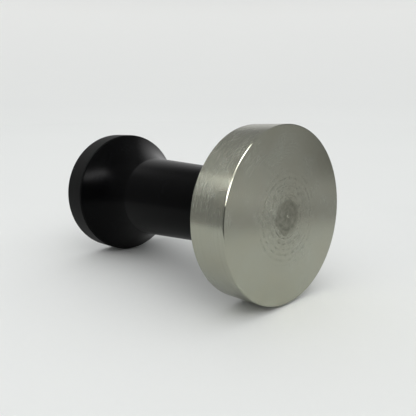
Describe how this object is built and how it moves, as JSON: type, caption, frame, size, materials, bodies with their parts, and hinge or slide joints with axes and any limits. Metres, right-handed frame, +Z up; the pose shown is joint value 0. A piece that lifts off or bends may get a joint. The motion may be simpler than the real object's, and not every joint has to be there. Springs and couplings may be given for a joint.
{
  "type": "espresso tamper",
  "caption": "Flat round steel tamper base on a short black waisted handle that flares to a wide capped end, lying on its side.",
  "frame": {"origin": "middle of the bounding box on the floor the tamper lies on", "axes": "+Z up, +X towards the tamping face, with the tamper's axis in the XZ plane and rising 3.07 degrees towards the face"},
  "size_m": [0.0972, 0.058, 0.0586],
  "materials": {
    "turned_steel": "fine turned rings, satin",
    "stud_steel": "plain machined thread",
    "washer_plastic": "natural nylon",
    "insert_brass": "machined",
    "handle_black": "smooth satin black",
    "cap_black": "fine matt black",
    "seal_rubber": "moulded rubber",
    "screw_steel": "dark oxide"
  },
  "bodies": {
    "handle": {"handle_body": "handle_black", "thread_insert": "insert_brass", "end_cap": "cap_black", "cap_seal": "seal_rubber", "cap_insert": "insert_brass", "cap_screw": "screw_steel", "cap_plug": "cap_black"},
    "washer": {"seat_washer": "washer_plastic"},
    "base": {"tamping_base": "turned_steel", "base_stud": "stud_steel"}
  },
  "joints": [
    {"name": "base_advance", "type": "slide", "parent": "handle", "child": "washer", "axis": [0.9986, 0, 0.0535], "range_m": [0, 0.01]},
    {"name": "base_turn", "type": "hinge", "parent": "washer", "child": "base", "pos_m": [0.04711, 0, 0.02968], "axis": [0.9986, 0, 0.0535], "range_deg": [0, 2880]}
  ],
  "couplings": [
    {"joint": "base_advance", "follows": "base_turn", "m_per_rad": 0.00019894}
  ]
}
